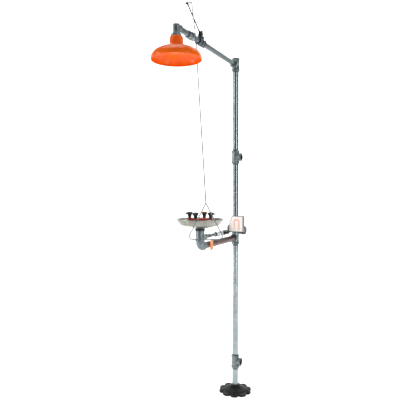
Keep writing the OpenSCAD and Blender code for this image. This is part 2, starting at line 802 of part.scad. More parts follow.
module strainer_body() {
  half = strainer_len/2;
  color("#b5bbbd") translate([0, -strainer_reach - half, eyewash_h]) difference() {
    rotate([90, 0, 0]) {
      translate([0, 0, -half + 2]) cylinder(h = strainer_len - 4, r = 14.5);
      translate([0, 0, -half]) hexagon(30, 15);
      translate([0, 0, half - 15]) hexagon(30, 15);
      translate([0, 0, -8]) band(17, 16, 2);
    }
    for (turn = [90, -90]) rotate([turn, 0, 0]) end_bore(branch_od, branch_wall, half, branch_engage);
    translate([0, half - branch_engage - 4, 0]) rotate([90, 0, 0])
      cylinder(h = strainer_len - 2*branch_engage - 8, r = 11);
  }
}

module strainer_screen() {
  color("#cfd2d3") translate([0, -strainer_reach - branch_engage - 4, eyewash_h]) rotate([90, 0, 0])
    difference() {
      cylinder(h = strainer_len - 2*branch_engage - 8, r = 9);
      translate([0, 0, 3]) cylinder(h = strainer_len, r = 8.2);
    }
}

// ---- Spray heads -----------------------------------------------------------

module spray_manifold() {
  post = manifold_h - post_top + branch_engage;
  color("#c8401f") translate([0, -bowl_reach, 0]) difference() {
    union() {
      translate([0, 0, post_top - branch_engage]) cylinder(h = post, r = branch_r);
      translate([0, 0, manifold_h]) sphere(r = 13);
      for (s = SPRAYS) {
        d = norm([s[0], s[1]]);
        rotate(s[2]) translate([0, 0, manifold_h]) rotate([0, 90, 0]) cylinder(h = d, r = 7.5);
        translate([s[0], s[1], manifold_h]) sphere(r = 9);
        translate([s[0], s[1], manifold_h]) cylinder(h = cup_base - manifold_h, r = 9);
      }
    }
    translate([0, 0, post_top - 30]) cylinder(h = manifold_h - post_top + 30, r = branch_in);
    for (s = SPRAYS) {
      d = norm([s[0], s[1]]);
      rotate(s[2]) translate([0, 0, manifold_h]) rotate([0, 90, 0]) cylinder(h = d, r = 5);
      translate([s[0], s[1], manifold_h]) cylinder(h = 40, r = 5);
    }
  }
}

// Places its children on spray head i, with +X pointing away from the bowl's centre
module at_spray(i) {
  translate([SPRAYS[i][0], SPRAYS[i][1] - bowl_reach, cup_base]) rotate(SPRAYS[i][2]) children();
}

// Flared cup with two hinge ears on its outer side
module spray_head(i) {
  color("#2f3331") at_spray(i) difference() {
    union() {
      rotate_extrude() polygon([[0, 0], [9, 0], [10, 8], [12, 15], [cup_r - 1.5, spray_h - 4],
        [cup_r, spray_h - 2], [cup_r, spray_h], [0, spray_h]]);
      for (side = [-1, 1]) translate([0, side*5.5, 0]) {
        translate([cup_r - 5, -1.5, spray_h - 7]) cube([10 + 2.8, 3, 4]);
        translate([cup_hinge_x - 2.8, -1.5, spray_h - 7]) cube([5.6, 3, 7.6]);
        translate([cup_hinge_x, 1.5, cup_hinge_z]) rotate([90, 0, 0]) cylinder(h = 3, r = 2.8);
      }
    }
    translate([0, 0, -1]) cylinder(h = 60, r = 5);
    translate([0, 0, spray_h - 9]) cylinder(h = 20, r = 13);
    translate([0, 0, spray_h - 4]) cylinder(h = 5, r1 = 13, r2 = cup_r - 1);
    translate([cup_hinge_x, 20, cup_hinge_z]) rotate([90, 0, 0]) cylinder(h = 40, r = cover_pin_r + 0.02);
  }
}

module spray_head_left() { spray_head(0); }
module spray_head_right() { spray_head(1); }
module spray_head_front() { spray_head(2); }
module spray_head_back() { spray_head(3); }

// Perforated filter discs, one in each spray head
module spray_filters() {
  color("#d9dcd8") for (i = [0:3]) at_spray(i) difference() {
    translate([0, 0, spray_h - 9]) cylinder(h = 3, r = 13 - fit_gap);
    for (k = [0:7]) rotate(k*45) translate([8, 0, spray_h - 10]) cylinder(h = 6, r = 1.2);
  }
}

module cover_pins() {
  color("#8d9294") for (i = [0:3]) at_spray(i)
    translate([cup_hinge_x, 7, cup_hinge_z]) rotate([90, 0, 0]) cylinder(h = 14, r = cover_pin_r);
}

// Flip-top dust cover: domed disc with a hinge knuckle
module spray_cover(i, tint) {
  r = cup_r + 1.2;
  dome = 6;
  color(tint) at_spray(i) difference() {
    union() {
      translate([0, 0, spray_h + run_gap]) cylinder(h = 2.6, r = r);
      translate([0, 0, spray_h + run_gap + 2.5]) rotate_extrude()
        polygon(concat([[0, 0]], [for (a = [0:15:90]) [(r - 1)*cos(a), dome*sin(a)]]));
      translate([cup_r - 2, -3.4, spray_h + run_gap]) cube([5, 6.8, 2.6]);
      translate([cup_hinge_x, 3.4, cup_hinge_z]) rotate([90, 0, 0]) cylinder(h = 6.8, r = 2.8);
    }
    translate([cup_hinge_x, 20, cup_hinge_z]) rotate([90, 0, 0])
      cylinder(h = 40, r = cover_pin_r + fit_gap);
  }
}

module cover_left() { spray_cover(0, "#363a38"); }
module cover_right() { spray_cover(1, "#363a38"); }
module cover_front() { spray_cover(2, "#363a38"); }
module cover_back() { spray_cover(3, "#b5482f"); }

// ---- Tag -------------------------------------------------------------------

module inspection_tag() {
  w = 40;
  tall = 66;
  top = -22;
  color("#f08a2c") translate([tag_x, -tag_reach, eyewash_h]) rotate([90, 0, 90]) difference() {
    linear_extrude(1.2) difference() {
      polygon([[-w/2, top - 12], [-w/2 + 10, top], [w/2 - 10, top], [w/2, top - 12],
        [w/2, top - tall], [-w/2, top - tall]]);
      translate([0, top - 9]) circle(r = 3.5);
    }
  }
}

// Wire loop round the supply pipe, with a drop through the tag's hole
module tag_wire() {
  wire = 1.8;
  loop = branch_r + run_gap + wire/2;
  inside = tag_x - 1.6;
  outside = tag_x + 2.8;
  drop = [[loop, 0], [inside, -31], [outside, -31], [outside, -18], [loop, 0]];
  color("#2a2c2e") translate([0, wire/2 - tag_reach, eyewash_h]) rotate([90, 0, 0])
    linear_extrude(wire) {
      difference() {
        circle(r = loop + wire/2);
        circle(r = loop - wire/2);
      }
      for (i = [0:len(drop) - 2]) stroke(drop[i], drop[i + 1], wire);
    }
}

// Flat bar between two points of an outline
module stroke(a, b, width) {
  d = b - a;
  translate(a) rotate(atan2(d[1], d[0])) translate([-width/2, -width/2]) square([norm(d) + width, width]);
}

floor_flange();
drain_nipple();
drain_tee();
lower_standpipe();
divider_tee();
port_cap();
middle_standpipe();
supply_tee();
upper_standpipe();
top_tee();
top_plug();
arm_bushing();
shower_arm();
shower_valve_body();
shower_valve_seat();
shower_valve_bonnet();
shower_valve_plunger();
lever_pin();
shower_lever();
pull_rod();
rod_cotter();
valve_nipple();
arm_union();
front_nipple();
street_elbow();
collar_nut();
shower_head();
head_spreader();
waste_pipe();
waste_elbow();
receptor_body();
bowl_gasket();
eyewash_bowl();
bowl_locknut();
rear_supply_nipple();
eyewash_valve_body();
eyewash_valve_end();
eyewash_ball();
ball_seats();
eyewash_stem();
flag_handle();
flag_label();
handle_nut();
middle_supply_nipple();
strainer_body();
strainer_screen();
front_supply_nipple();
spray_manifold();
spray_head_left();
spray_head_right();
spray_head_front();
spray_head_back();
spray_filters();
cover_pins();
cover_left();
cover_right();
cover_front();
cover_back();
inspection_tag();
tag_wire();
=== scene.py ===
# %% [markdown]
# # An emergency shower, dressed for its portrait
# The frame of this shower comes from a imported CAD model: pipes, fittings, valves and joints all stand
# where they must. This lesson adds what the eye looks for: zinc with its crystals, wet-looking orange
# plastic, spun stainless steel, cut threads, and wire that bends in smooth arcs.
# Everything is in metres, +Z up, with the floor flange at the origin.

# %% Load the frame
import json
import math
import bmesh
import bpy
from mathutils import Matrix, Vector


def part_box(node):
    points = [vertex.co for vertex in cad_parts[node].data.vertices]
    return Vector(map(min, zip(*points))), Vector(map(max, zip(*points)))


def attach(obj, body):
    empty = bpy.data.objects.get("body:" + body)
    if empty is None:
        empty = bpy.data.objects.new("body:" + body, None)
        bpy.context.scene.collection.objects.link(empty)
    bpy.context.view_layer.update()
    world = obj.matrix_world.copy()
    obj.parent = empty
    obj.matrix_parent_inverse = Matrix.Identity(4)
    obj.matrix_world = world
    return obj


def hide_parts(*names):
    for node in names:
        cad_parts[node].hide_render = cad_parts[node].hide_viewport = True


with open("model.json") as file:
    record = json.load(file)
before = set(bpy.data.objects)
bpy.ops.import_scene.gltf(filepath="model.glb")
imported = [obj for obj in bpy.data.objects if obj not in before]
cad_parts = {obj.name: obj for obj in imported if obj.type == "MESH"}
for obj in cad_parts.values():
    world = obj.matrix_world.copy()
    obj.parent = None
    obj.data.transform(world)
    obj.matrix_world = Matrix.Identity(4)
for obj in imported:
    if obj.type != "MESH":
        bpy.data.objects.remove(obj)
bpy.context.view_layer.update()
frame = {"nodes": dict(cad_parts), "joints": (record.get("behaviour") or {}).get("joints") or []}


def joint_place(name):
    joint = next(joint for joint in frame["joints"] if joint["name"] == name)
    return Vector(joint["pos_m"])


# %% [markdown]
# ## Camera
# A product portrait of a tall, thin object wants a fairly long lens, held at about chest height so that
# neither the head nor the flange is seen too steeply. The camera stands to the right of the arm, which
# brings the pull rod and the push flag to the front.

# %% Camera
MM = 0.001


def mm(*values):
    return Vector(values) * MM


def camera(lens, azimuth, distance, height, yaw, pitch):
    a = math.radians(azimuth)
    turn = a + math.radians(yaw)
    tip = math.radians(pitch)
    data = bpy.data.cameras.new("portrait_camera")
    data.lens = lens
    data.clip_end = 50
    eye = bpy.data.objects.new("portrait_camera", data)
    bpy.context.scene.collection.objects.link(eye)
    eye.location = (distance * math.sin(a), -distance * math.cos(a), height)
    look = Vector((-math.sin(turn) * math.cos(tip), math.cos(turn) * math.cos(tip), math.sin(tip)))
    eye.rotation_mode = "QUATERNION"
    eye.rotation_quaternion = look.to_track_quat("-Z", "Y")
    bpy.context.scene.camera = eye
    return eye


portrait = camera(lens=41.27, azimuth=21.89, distance=3.262, height=1.445, yaw=4.43, pitch=-1.39)
print("camera stands at", tuple(round(v, 3) for v in portrait.location))

# %% [markdown]
# ## One node at a time
# A material in Blender is a small graph. `add` puts one node into it, sets it up and links it; nothing
# else in this lesson makes a node. `colour` turns a hex value, as a paint chart gives it, into the
# linear light that Blender mixes.

# %% Colour and node helpers


def colour(hex_value):
    parts = [int(hex_value[i:i + 2], 16) / 255 for i in (1, 3, 5)]
    return tuple(p / 12.92 if p <= 0.04045 else ((p + 0.055) / 1.055) ** 2.4 for p in parts) + (1,)


def add(material, kind, settings=None, inputs=None, feeds=None):
    """Add a node: settings are its properties, inputs its values or links, feeds where its result goes."""
    tree = material.node_tree
    node = tree.nodes.new(kind)
    for key, value in (settings or {}).items():
        setattr(node, key, value)
    for key, value in (inputs or {}).items():
        if isinstance(value, bpy.types.NodeSocket):
            tree.links.new(value, node.inputs[key])
        else:
            node.inputs[key].default_value = value
    for output, socket in (feeds or {}).items():
        tree.links.new(node.outputs[output], socket)
    return node


print("middle grey #808080 is", round(colour("#808080")[0], 3), "in linear light")

# %% [markdown]
# ## What every worn surface shares
# Real surfaces vary in three ways at once: a slow drift of colour, a gloss that drifts with it, and a
# relief in one or more layers, from mould waves down to sand grain. `surface` builds exactly that from
# sizes in millimetres, so each finish below is a handful of numbers that can be checked with a ruler.
# Crystals are optional: they are Voronoi cells, and only the zinc on pipe shows them.

# %% Surface
CRYSTAL_SHARE, GRAIN_SHARE = 0.3, 0.5
CRYSTAL_STEP_MM, CRYSTAL_STRENGTH = 0.02, 0.1
# Noise keeps to the middle of its range, so this middle is what is spread from dark to light.
DARK_END, LIGHT_END = 0.32, 0.68
# A Mix node has its two colours and their result at these sockets.
MIX_FIRST, MIX_SECOND, MIX_RESULT = 6, 7, 2


def surface(name, light, dark, gloss, drift_mm, relief, metallic=0.0, stretch=(1, 1, 1), centre=None,
            crystal_mm=None, **sockets):
    """A material from real sizes.

    gloss is (smoothest, roughest), and relief lists layers of (grain_mm, depth_mm, strength).
    stretch draws the relief out into lines, and centre = (x, y) bends those lines round an upright axis.
    """
    material = bpy.data.materials.new(name)
    material.use_nodes = True
    shader = material.node_tree.nodes["Principled BSDF"]
    shader.inputs["Metallic"].default_value = metallic
    for socket, value in sockets.items():
        shader.inputs[socket.replace("_", " ")].default_value = value
    place = add(material, "ShaderNodeTexCoord").outputs["Object"]
    lines = add(material, "ShaderNodeMapping", inputs={"Vector": place, "Scale": stretch}).outputs["Vector"]
    if centre:
        shift = add(material, "ShaderNodeVectorMath", {"operation": "SUBTRACT"}, {0: place, 1: (*centre, 0)})
        split = add(material, "ShaderNodeSeparateXYZ", inputs={"Vector": shift.outputs[0]}).outputs
        flat = add(material, "ShaderNodeCombineXYZ", inputs={"X": split["X"], "Y": split["Y"]})
        reach = add(material, "ShaderNodeVectorMath", {"operation": "LENGTH"}, {0: flat.outputs[0]})
        lines = add(material, "ShaderNodeCombineXYZ",
                    inputs={"X": reach.outputs["Value"], "Z": split["Z"]}).outputs[0]
    pattern = add(material, "ShaderNodeTexNoise",
                  inputs={"Vector": place, "Scale": 1 / (drift_mm * MM), "Detail": 4}).outputs["Fac"]
    normal = None
    if crystal_mm:
        cells = add(material, "ShaderNodeTexVoronoi",
                    inputs={"Vector": place, "Scale": 1 / (crystal_mm * MM)})
        facets = add(material, "ShaderNodeSeparateColor", inputs={"Color": cells.outputs["Color"]})
        pattern = add(material, "ShaderNodeMix", {"data_type": "FLOAT"},
                      {"Factor": CRYSTAL_SHARE, "A": pattern, "B": facets.outputs["Red"]}).outputs["Result"]
        normal = add(material, "ShaderNodeBump", inputs={
            "Height": facets.outputs["Green"], "Distance": CRYSTAL_STEP_MM * MM,
            "Strength": CRYSTAL_STRENGTH}).outputs["Normal"]
    for grain_mm, depth_mm, strength in relief:
        grain = add(material, "ShaderNodeTexNoise",
                    inputs={"Vector": lines, "Scale": 1 / (grain_mm * MM), "Detail": 2})
        bump = add(material, "ShaderNodeBump", inputs={
            "Height": grain.outputs["Fac"], "Distance": depth_mm * MM, "Strength": strength})
        if normal:
            material.node_tree.links.new(normal, bump.inputs["Normal"])
        normal = bump.outputs["Normal"]
    if stretch != (1, 1, 1) or centre:
        pattern = add(material, "ShaderNodeMix", {"data_type": "FLOAT"},
                      {"Factor": GRAIN_SHARE, "A": pattern, "B": grain.outputs["Fac"]}).outputs["Result"]
    material.node_tree.links.new(normal, shader.inputs["Normal"])
    spread = add(material, "ShaderNodeMapRange",
                 inputs={"Value": pattern, "From Min": DARK_END, "From Max": LIGHT_END}).outputs[0]
    add(material, "ShaderNodeMix", {"data_type": "RGBA"},
        {"Factor": spread, MIX_FIRST: colour(dark), MIX_SECOND: colour(light)},
        {MIX_RESULT: shader.inputs["Base Color"]})
    add(material, "ShaderNodeMapRange", inputs={"Value": spread, "To Min": gloss[1], "To Max": gloss[0]},
        feeds={0: shader.inputs["Roughness"]})
    print(name, "made from", len(material.node_tree.nodes), "nodes")
    return material


# %% [markdown]
# ## Galvanised steel pipe
# Hot-dip galvanising leaves a skin of zinc on the steel. It freezes into flat crystals, called spangle,
# 5 to 15 mm across, each turned a little differently, so one mirrors the sky and its neighbour doesn't.
# Voronoi cells are the natural pattern for that. Draw lines from the pipe mill show through, so the
# finer relief is stretched along the pipe. Zinc is a metal: its colour is its reflection. The waste pipe
# is painted dark red-brown: painted shade, and a painted reflection of the orange nearby.

# %% Galvanised pipe
SPANGLE_MM = 11
standing_pipe = surface("galvanised_pipe_standing", "#a1abaf", "#7d888d", (0.17, 0.26), 60,
                        [(1.6, 0.03, 0.15)], metallic=1.0, stretch=(1, 1, 0.06), crystal_mm=SPANGLE_MM)
# The lying pipes are the same zinc as the standing ones, painted darker: painted shade.
horizontal_pipe_painted_shade = surface("galvanised_pipe_painted_shade_lying", "#727b7e", "#4d575a", (0.24, 0.34), 60, [(1.6, 0.03, 0.15)],
                     metallic=1.0, stretch=(1, 0.06, 1), crystal_mm=SPANGLE_MM)
# The waste pipe's dark red-brown is painted shade and a painted reflection of the orange nearby.
shaded_waste_pipe = surface("waste_pipe_painted_shade_and_reflection", "#644a47", "#341f1e", (0.22, 0.34), 45, [(1.6, 0.03, 0.15)],
                       metallic=1.0, stretch=(1, 0.06, 1), crystal_mm=SPANGLE_MM)

# %% [markdown]
# ## Castings
# Tees and elbows are malleable iron, cast in sand and then dipped. The sand leaves a grain of about
# 1 mm that the zinc only half fills, so the same zinc looks duller and a little darker than on pipe.
# The floor flange is grey iron under black stoving enamel, which levels into a soft sheen over the
# grain and greys where shoes rub it.

# %% Castings
fitting_zinc = surface("galvanised_casting", "#8b9497", "#5a6568", (0.3, 0.46), 25,
                       [(9, 0.5, 0.3), (1.2, 0.12, 0.6)], metallic=1.0)
enamel = surface("black_enamel_on_iron", "#121416", "#07080a", (0.5, 0.64), 18,
                 [(6, 0.6, 0.35), (1.0, 0.15, 0.6)], Specular_IOR_Level=0.2)

# %% [markdown]
# ## Cut threads
# Pipe threads are cut after dipping, so the exposed turns next to each fitting are bare steel with
# sealant and cutting oil on them: nearly black. The turns themselves will be real geometry.

# %% Thread steel
thread_steel = surface("oiled_thread_steel", "#565e61", "#262b2d", (0.35, 0.5), 5, [(1.0, 0.05, 0.4)],
                       metallic=1.0)

# %% [markdown]
# ## Stainless steel
# The bowl is spun from sheet and brushed while it turns, so its scratches are circles round the bowl's
# axis. The push flag is brushed sheet with straight lines. Rod and lever are drawn bar, nearly smooth.
# All are the same metal: what changes is the direction and size of the scratches, and how far the lever
# and the tag's wire have darkened.

# %% Stainless steel
low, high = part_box("eyewash_bowl")
bowl_axis = Vector(((low.x + high.x) / 2, (low.y + high.y) / 2, low.z))
spun_steel = surface("spun_stainless", "#a3a29b", "#75756e", (0.26, 0.38), 45, [(1.2, 0.04, 0.5)],
                     metallic=1.0, centre=bowl_axis.xy[:])
sheet_steel = surface("brushed_stainless_sheet", "#8c9092", "#606466", (0.28, 0.4), 40, [(0.9, 0.04, 0.5)],
                      metallic=1.0, stretch=(0.05, 1, 1))
drawn_steel = surface("drawn_stainless_bar", "#8f9396", "#63686c", (0.18, 0.3), 50, [(0.8, 0.04, 0.3)],
                      metallic=1.0, stretch=(1, 1, 0.05))
dark_bar = surface("darkened_stainless_bar", "#42474a", "#24282b", (0.26, 0.38), 30, [(0.8, 0.04, 0.3)],
                   metallic=1.0, stretch=(1, 0.1, 0.1))

# %% [markdown]
# ## Plated and machined valve parts
# Valve bodies are forged brass. Nickel plate dulls to a warm dark grey on old stock and stays bright on
# new. Locknut, seat and plunger are left as turned brass.

# %% Valve metals
valve_nickel = surface("dark_nickel_plate", "#5e6467", "#34393c", (0.26, 0.4), 14,
                       [(4, 0.2, 0.3), (0.9, 0.05, 0.4)], metallic=1.0)
bright_nickel = surface("bright_nickel_plate", "#cdd2d3", "#9aa1a3", (0.16, 0.28), 16, [(4, 0.1, 0.3)],
                        metallic=1.0)
brass = surface("machined_brass", "#c9a65a", "#96763a", (0.24, 0.36), 10, [(1.0, 0.03, 0.3)], metallic=1.0)

# %% [markdown]
# ## Plastics and rubber
# The head is ABS, coloured safety orange right through and moulded glossy. Even a polished mould leaves
# faint waves some centimetres long, which bend the reflections; a flat colour would look painted on.
# The spray cups are nylon with a fine spark-eroded texture, so they look satin. Printed film and ink
# are smoother still, and rubber is the dullest thing on the whole shower.

# %% Plastics and rubber
orange_abs = surface("safety_orange_abs", "#ec6409", "#df5704", (0.2, 0.3), 40,
                     [(50, 0.6, 0.25), (2.5, 0.02, 0.3)],
                     Coat_Weight=0.1, Coat_Roughness=0.08, Specular_IOR_Level=0.2, IOR=1.45)
tag_vinyl = surface("orange_vinyl", "#f58f36", "#e67b22", (0.34, 0.46), 20, [(1.5, 0.05, 0.4)])
red_nylon = surface("red_nylon", "#c8402a", "#a32c1a", (0.32, 0.45), 15, [(0.8, 0.04, 0.4)])
# This cover is red nylon lightened to pink: a painted highlight.
highlit_red_nylon = surface("red_nylon_painted_highlight", "#b95a42", "#8f3f2c", (0.3, 0.44), 15, [(0.8, 0.04, 0.4)])
charcoal_nylon = surface("charcoal_nylon", "#3a403e", "#232827", (0.3, 0.42), 15, [(0.8, 0.06, 0.4)])
black_plastic = surface("black_polyethylene", "#1d1e20", "#0f1011", (0.34, 0.46), 15, [(0.9, 0.06, 0.4)])
natural_nylon = surface("natural_nylon", "#dcdcd4", "#c6c6bd", (0.38, 0.48), 15, [(0.9, 0.04, 0.4)])
black_rubber = surface("black_rubber", "#17181a", "#0c0d0e", (0.55, 0.7), 10, [(0.6, 0.08, 0.5)])
label_film = surface("printed_label_film", "#f7f1ec", "#ebe3dc", (0.3, 0.4), 30, [(2.0, 0.01, 0.3)])
label_ink = surface("salmon_screen_ink", "#f0b5a3", "#e7a38e", (0.4, 0.5), 12, [(0.7, 0.01, 0.4)])
# The cream of the tag's eyelet is a painted highlight.
cream_highlight_eyelet = surface("eyelet_painted_highlight", "#efe3cf", "#dccdb4", (0.45, 0.55), 8, [(0.8, 0.03, 0.4)])

# %% [markdown]
# ## Who wears what
# Each CAD piece keeps its exact shape and only changes its finish. A table of finishes is easier to read
# and to mend than sixty single lines, and the last line shows whether a piece was forgotten.

# %% Dress the CAD pieces
WARDROBE = {
    standing_pipe: ["drain_nipple", "lower_standpipe", "middle_standpipe", "upper_standpipe"],
    horizontal_pipe_painted_shade: ["shower_arm", "valve_nipple", "front_nipple", "rear_supply_nipple",
                 "middle_supply_nipple", "front_supply_nipple"],
    shaded_waste_pipe: ["waste_pipe"],
    fitting_zinc: ["drain_tee", "supply_tee", "top_tee", "top_plug", "divider_tee", "waste_elbow",
                   "receptor_body", "street_elbow", "arm_bushing", "arm_union", "collar_nut"],
    enamel: ["floor_flange"],
    valve_nickel: ["shower_valve_body", "shower_valve_bonnet", "eyewash_valve_body", "eyewash_valve_end"],
    bright_nickel: ["strainer_body", "strainer_screen", "eyewash_ball"],
    brass: ["shower_valve_seat", "shower_valve_plunger", "bowl_locknut"],
    spun_steel: ["eyewash_bowl"],
    sheet_steel: ["flag_handle"],
    drawn_steel: ["pull_rod", "rod_cotter", "lever_pin", "eyewash_stem", "handle_nut", "cover_pins"],
    dark_bar: ["shower_lever", "tag_wire"],
    orange_abs: ["shower_head", "head_spreader"],
    tag_vinyl: ["inspection_tag"],
    red_nylon: ["spray_manifold"],
    highlit_red_nylon: ["cover_back"],
    charcoal_nylon: ["spray_head_left", "spray_head_right", "spray_head_front", "spray_head_back",
                     "cover_left", "cover_right", "cover_front"],
    black_plastic: ["port_cap"],
    natural_nylon: ["ball_seats", "spray_filters"],
    black_rubber: ["bowl_gasket"],
    label_film: ["flag_label"],
}
dressed = set()
for material, nodes in WARDROBE.items():
    for node in nodes:
        mesh = frame["nodes"][node].data
        mesh.materials.clear()
        mesh.materials.append(material)
        dressed.add(node)
print("dressed", len(dressed), "CAD pieces; left bare:", sorted(set(frame["nodes"]) - dressed))

# %% [markdown]
# ## Castings have no sharp edges
# A CAD fitting meets itself in knife-sharp corners, but a casting comes out of sand with every inner
# corner filled and every outer one worn round. Modelling those fillets one by one is slow. A fine voxel
# remesh followed by a little smoothing rounds them all at once, and as a modifier it leaves the CAD mesh
# itself alone. The voxel size sets how round the edges become: coarse for sand castings, fine for
# forged and turned parts. The shower valve's bonnet is left sharp, because rounding would fill the
# corners of the slot that its lever turns in.

# %% Soften the castings
WEAR_SHARE, WEAR_ROUNDS = 0.5, 6
SOFT_EDGES = {
    1.3: ["drain_tee", "supply_tee", "top_tee", "divider_tee", "waste_elbow", "receptor_body", "street_elbow",
          "arm_bushing", "collar_nut", "floor_flange"],
    0.8: ["top_plug", "arm_union", "shower_valve_body", "eyewash_valve_body", "eyewash_valve_end",
          "strainer_body", "port_cap"],
    0.6: ["spray_manifold", "handle_nut"],
}
for voxel_mm, nodes in SOFT_EDGES.items():
    for node in nodes:
        casting = frame["nodes"][node]
        mesh_again = casting.modifiers.new("sand", "REMESH")
        mesh_again.mode = "VOXEL"
        mesh_again.voxel_size = voxel_mm * MM
        mesh_again.use_smooth_shade = True
        worn = casting.modifiers.new("wear", "SMOOTH")
        worn.factor = WEAR_SHARE
        worn.iterations = WEAR_ROUNDS
print("softened", sum(len(nodes) for nodes in SOFT_EDGES.values()), "castings and forgings")

# %% [markdown]
# ## Smooth curves from few points
# Bent wire, spun sheet and moulded domes all have the same secret: straight runs joined by round
# corners. `rounded` takes the few points that matter and turns each corner into an arc. It works for the
# outline of a bowl just as well as for the path of a wire.

# %% Rounded corners
NEARLY_STRAIGHT, MOST_OF_A_SIDE = math.radians(89), 0.49


def rounded(points, radius, steps=8):
    """A polyline whose inner corners are arcs of that radius, or less where a side is too short."""
    points = [Vector(p) for p in points]
    curve = [points[0]]
    for before, corner, after in zip(points, points[1:], points[2:]):
        back, ahead = (before - corner).normalized(), (after - corner).normalized()
        half = back.angle(ahead) / 2
        if half > NEARLY_STRAIGHT:
            curve.append(corner)
            continue
        side = min((before - corner).length, (after - corner).length)
        reach = min(radius / math.tan(half), MOST_OF_A_SIDE * side)
        centre = corner + (back + ahead).normalized() * reach / math.cos(half)
        start, end = corner + back * reach - centre, corner + ahead * reach - centre
        sweep = math.pi - 2 * half
        for i in range(steps + 1):
            a = sweep * i / steps
            curve.append(centre + (math.sin(sweep - a) * start + math.sin(a) * end) / math.sin(sweep))
    return curve + [points[-1]]


def spaced(outline, longest):
    """Add points so that no stretch is longer than longest."""
    dense = [Vector(outline[0])]
    for a, b in zip(outline, outline[1:]):
        a, b = Vector(a), Vector(b)
        parts = max(1, math.ceil((b - a).length / longest))
        dense += [a.lerp(b, i / parts) for i in range(1, parts + 1)]
    return dense


print("a right angle rounded to 10 mm has", len(rounded([(0, 0), (50, 0), (50, 50)], 10)), "points")

# %% [markdown]
# ## From rings of points to a piece
# Every piece below is a row of rings joined into a skin: a lathe turns an outline round an axis, and a
# tube carries a small circle along a path. `piece` turns the finished skin into an object, shades it
# smooth except at real edges, hangs it on the empty of the body it rides on, and hides the CAD parts it
# stands for.

# %% Mesh helpers


def piece(name, make, material, body, stands_for=(), crease=40):
    shape = bmesh.new()
    make(shape)
    bmesh.ops.remove_doubles(shape, verts=shape.verts, dist=1e-7)
    bmesh.ops.recalc_face_normals(shape, faces=shape.faces)
    data = bpy.data.meshes.new(name)
    shape.to_mesh(data)
    shape.free()
    data.shade_smooth()
    data.set_sharp_from_angle(angle=math.radians(crease))
    data.materials.append(material)
    thing = bpy.data.objects.new(name, data)
    bpy.context.scene.collection.objects.link(thing)
    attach(thing, body)
    if stands_for:
        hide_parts(*stands_for)
    print(name, "has", len(data.vertices), "points")
    return thing


def skin(shape, rings, ends=False):
    rows = [[shape.verts.new(p) for p in ring] for ring in rings]
    for row, next_row in zip(rows, rows[1:]):
        for i in range(len(row)):
            k = (i + 1) % len(row)
            shape.faces.new((row[i], row[k], next_row[k], next_row[i]))
    if ends:
        shape.faces.new(rows[0])
        shape.faces.new(rows[-1])


def lathe(shape, outline, place, steps=96, ripple=None):
    """Turn a closed outline of (radius, height) in mm round the Z axis of place."""
    rings = []
    for radius, height in [*outline, outline[0]]:
        ring = []
        for i in range(steps):
            angle = math.tau * i / steps
            r = radius + (ripple(radius, height, angle) if ripple else 0)
            ring.append(place @ mm(r * math.cos(angle), r * math.sin(angle), height))
        rings.append(ring)
    skin(shape, rings)


def tube(shape, path, radius, steps=16, closed=False):
    """Carry a circle along a path in metres without letting it twist."""
    rings, side = [], None
    count = len(path)
    for i, point in enumerate(path):
        before = path[i - 1] if i or closed else path[0]
        after = path[(i + 1) % count] if i < count - 1 or closed else path[-1]
        along = (after - before).normalized()
        side = side or along.orthogonal()
        side = (side - along * side.dot(along)).normalized()
        up = along.cross(side)
        rings.append([point + radius * (math.cos(a) * side + math.sin(a) * up)
                      for a in (math.tau * k / steps for k in range(steps))])
    skin(shape, rings + rings[:1] if closed else rings, ends=not closed)


def upright(point):
    return Matrix.Translation(point)


print("lathe, tube and piece are ready")

# %% [markdown]
# ## The floor flange
# The rim of the flange is cut away deeply between its lobes, which saves iron. The softened casting is
# copied and its rim drawn in between the lobes, fully at the edge and not at all by the hub. The lobes
# that hold the bolt holes stay where they are.

# %% Floor flange
LOBES, LOBE_ROOT, DRAWN_IN, ROOT_TO_EDGE = 10, 88.0, 9.0, 18.0


def flange_mesh(shape):
    casting = frame["nodes"]["floor_flange"]
    softened = casting.evaluated_get(bpy.context.evaluated_depsgraph_get())
    shape.from_mesh(softened.to_mesh())
    softened.to_mesh_clear()
    for point in shape.verts:
        point.co = casting.matrix_world @ point.co
        out = point.co.xy.length / MM
        between = (0.5 - 0.5 * math.cos(LOBES * math.atan2(point.co.y, point.co.x))) ** 2
        edge = min(1.0, max(0.0, (out - LOBE_ROOT) / ROOT_TO_EDGE))
        if edge:
            keep = 1 - DRAWN_IN * between * edge * edge * (3 - 2 * edge) / out
            point.co.x, point.co.y = point.co.x * keep, point.co.y * keep


piece("floor_flange_casting", flange_mesh, enamel, "frame", ["floor_flange"])

# %% [markdown]
# ## The shower head
# The head is one moulding: a ribbed neck that a hand can grip to screw it on, a low dome and a rolled
# rim. A lathe turns its outline, and a ripple in the radius adds the ribs. The dome is a flattened
# ellipse, fuller at the shoulder than a circle's arc, with a shallow groove where the mould parts.

# %% Shower head
low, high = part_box("shower_head")
head_axis = Vector(((low.x + high.x) / 2, (low.y + high.y) / 2, low.z))
HEAD_RADIUS = (high.x - low.x) / 2 / MM
HEAD_HEIGHT = (high.z - low.z) / MM
NECK_RADIUS, NECK_HEIGHT, NECK_FOOT_RADIUS, NECK_FOOT_DROP, NECK_ROUND = 37.0, 50.0, 48.0, 3.4, 6.0
RIB_COUNT, RIB_DEPTH, RIB_END, POINTS_PER_RIB = 24, 0.5, 5.0, 10
WALL, LIP, LIP_ROUND = 3.0, 5.0, 1.9
INLET_RADIUS, SOCKET_RADIUS, SOCKET_ROOF, SOCKET_ROUND = 21.0, 29.4, 12.0, 3.0
GROOVE_RADIUS, GROOVE_WIDTH, GROOVE_DEPTH = 98.0, 3.0, 1.1
DOME_HEIGHT = HEAD_HEIGHT - NECK_HEIGHT
FULLNESS = 2.2


def dome(radius, edge, tall):
    return tall * max(0.0, 1 - (radius / edge) ** FULLNESS) ** (1 / FULLNESS)


